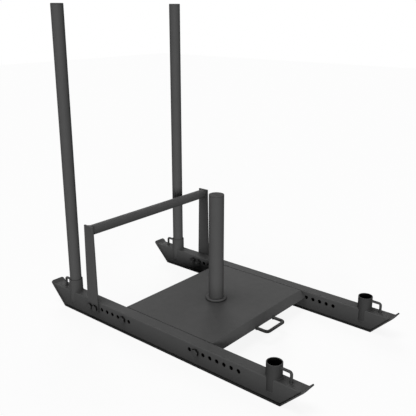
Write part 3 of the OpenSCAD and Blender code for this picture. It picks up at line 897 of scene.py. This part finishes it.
low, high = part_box("tow_loop")
tow_rod = high[2] - low[2]
tow_z = (low[2] + high[2]) / 2
tow_x = high[0] - tow_rod / 2
tow_y = high[1] - tow_rod / 2
tow_start_x = low[0] + tow_rod / 2 - WELD_SINK
tow_line = [Vector((tow_start_x, -tow_y, tow_z)), Vector((tow_x, -tow_y, tow_z)),
            Vector((tow_x, tow_y, tow_z)), Vector((tow_start_x, tow_y, tow_z))]
rod_piece_for("tow_loop", tow_line, TOW_BEND, tow_rod)


# Weld beads

BEAD = 0.003
ROD_BEAD = 0.0026
BAR_BEAD = 0.0036
ROD_RIPPLE = 0.0018
RING_STEPS = 40
SEAM_STEPS = 14
RUNNER_CORNER = 0.0022
LOOP_RING = 0.0044
FOOT_LIFT = 0.0004
TOW_RING_GAP = 0.0003
BAR_RING_GAP = 0.0004
BAR_SEAM_INSET = 0.0006
FORWARD, ACROSS, UP = Vector((1, 0, 0)), Vector((0, 1, 0)), Vector((0, 0, 1))


def ring_line(centre, radius, normal):
    """A closed circle round an axis, whose last point is its first."""
    across = normal.orthogonal().normalized()
    along = normal.cross(across).normalized()
    turns = [math.tau * step / RING_STEPS for step in range(RING_STEPS)]
    line = [centre + radius * (math.cos(turn) * across + math.sin(turn) * along) for turn in turns]
    return line + [line[0].copy()]


def socket_seams(end, side):
    """Seams of a socket at the runner's top, one before it and one behind it."""
    axis = socket_axis(end, side)
    runner_low, runner_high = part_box(f"{side}_runner")
    half_width = (runner_high[1] - runner_low[1]) / 2
    reach = math.asin((half_width - RUNNER_CORNER) / socket_radius)
    arc = [reach * (2 * step / SEAM_STEPS - 1) for step in range(SEAM_STEPS + 1)]
    return [[axis + Vector((way * socket_radius * math.cos(turn), socket_radius * math.sin(turn), runner_top))
             for turn in arc]
            for way in (1, -1)]


seams = [seam for end in ENDS for side in SIDES for seam in socket_seams(end, side)]
frame_welds = grow("socket_welds", weld_bead, wires("socket_seams", *seams), {"Bead width": BEAD, "Seed": 2},
                   FINISHES["frame_coat"])

rod_seams = []
for node, line in loop_lines.items():
    end_sign = 1 if line[1].x > line[0].x else -1
    foot, head = line[2], line[0] + Vector((end_sign * WELD_SINK, 0, 0))
    rod_seams.append(ring_line(foot + Vector((0, 0, FOOT_LIFT)), LOOP_RING, UP))
    rod_seams.append(ring_line(head, LOOP_RING, FORWARD))
for y in (-tow_y, tow_y):
    leg_end = Vector((tow_start_x + WELD_SINK, y, tow_z))
    rod_seams.append(ring_line(leg_end, tow_rod / 2 + TOW_RING_GAP, FORWARD))
rod_welds = grow("rod_welds", weld_bead, wires("rod_seams", *rod_seams),
                 {"Bead width": ROD_BEAD, "Ripple pitch": ROD_RIPPLE, "Seed": 5}, FINISHES["rod_coat"])

bar_low, bar_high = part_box("crossbar")
bar_radius = (bar_high[2] - bar_low[2]) / 2
bar_x, bar_z = (bar_low[0] + bar_high[0]) / 2, (bar_low[2] + bar_high[2]) / 2
bar_seams = [ring_line(Vector((bar_x, way * (bar_high[1] - BAR_SEAM_INSET), bar_z)),
                       bar_radius + BAR_RING_GAP, ACROSS)
             for way in (1, -1)]
bar_welds = grow("crossbar_welds", weld_bead, wires("bar_seams", *bar_seams),
                 {"Bead width": BAR_BEAD, "Seed": 8}, FINISHES["handle_coat"])

for welds, slot in ((frame_welds, "frame_coat"), (rod_welds, "rod_coat"), (bar_welds, "handle_coat")):
    soft_shading(welds.data)
    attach(welds, "sled")


# Floor, backdrop and light

REFLECTED_WHITE = 0.5
SOFT_FILL = 0.06
FLOOR_TONE = 0.05
FLOOR_WHITE = 0.98
FLOOR_GLOW = 0.9


def white_to_camera(tree, plain, white):
    """The white shader for the camera and glass, half of it for reflections, the plain one for light."""
    path = put(tree, "ShaderNodeLightPath").outputs
    reflected = calc(tree, "MULTIPLY", path["Is Glossy Ray"], REFLECTED_WHITE)
    seen = calc(tree, "MAXIMUM", path["Is Camera Ray"], reflected)
    seen = calc(tree, "MAXIMUM", seen, path["Is Transmission Ray"])
    mix = put(tree, "ShaderNodeMixShader")
    feed(tree, mix.inputs[0], seen)
    feed(tree, mix.inputs[1], plain)
    feed(tree, mix.inputs[2], white)
    return mix.outputs[0]


world = bpy.data.worlds.new("studio")
scene.world = world
world.use_nodes = True
world_tree = world.node_tree
soft_fill = world_tree.nodes["Background"]
soft_fill.inputs["Color"].default_value = (1, 1, 1, 1)
soft_fill.inputs["Strength"].default_value = SOFT_FILL
backdrop = put(world_tree, "ShaderNodeBackground", {"Color": (1, 1, 1, 1), "Strength": 1.0})
feed(world_tree, world_tree.nodes["World Output"].inputs["Surface"],
     white_to_camera(world_tree, soft_fill.outputs[0], backdrop.outputs[0]))

FLOOR_HALF = 9.0
floor_mesh = bpy.data.meshes.new("studio_floor")
corners = [(-1, -1), (1, -1), (1, 1), (-1, 1)]
floor_mesh.from_pydata([(x * FLOOR_HALF, y * FLOOR_HALF, 0) for x, y in corners], [], [(0, 1, 2, 3)])
studio_floor = bpy.data.objects.new("studio_floor", floor_mesh)
scene.collection.objects.link(studio_floor)
floor_finish, floor_tree, floor_surface = new_finish("pale_floor")
floor_surface.inputs["Base Color"].default_value = tone(FLOOR_TONE)
floor_surface.inputs["Roughness"].default_value = 0.9
floor_surface.inputs["Specular IOR Level"].default_value = 0.0
pale = put(floor_tree, "ShaderNodeBsdfDiffuse", {"Color": tone(FLOOR_WHITE)})
glow = put(floor_tree, "ShaderNodeEmission", {"Color": (1, 1, 1, 1), "Strength": 1.0})
glowing = put(floor_tree, "ShaderNodeMixShader")
feed(floor_tree, glowing.inputs[0], FLOOR_GLOW)
feed(floor_tree, glowing.inputs[1], pale.outputs[0])
feed(floor_tree, glowing.inputs[2], glow.outputs[0])
feed(floor_tree, floor_tree.nodes["Material Output"].inputs["Surface"],
     white_to_camera(floor_tree, floor_surface.outputs[0], glowing.outputs[0]))
floor_mesh.materials.append(floor_finish)


def sun(name, azimuth, elevation, strength, width):
    """A soft lamp far away, seen from the sled at the given azimuth and elevation in degrees."""
    lamp = bpy.data.lights.new(name, "SUN")
    lamp.energy = strength
    lamp.angle = math.radians(width)
    holder = bpy.data.objects.new(name, lamp)
    azimuth, elevation = math.radians(azimuth), math.radians(elevation)
    towards = Vector((math.cos(azimuth) * math.cos(elevation), math.sin(azimuth) * math.cos(elevation),
                      math.sin(elevation)))
    holder.rotation_euler = towards.to_track_quat("Z", "Y").to_euler()
    scene.collection.objects.link(holder)


sun("key_lamp", azimuth=-49, elevation=8, strength=2.45, width=14)
sun("top_lamp", azimuth=-135, elevation=76, strength=1.3, width=35)
sun("rear_lamp", azimuth=135, elevation=30, strength=1.3, width=30)

scene.view_settings.view_transform = "Standard"
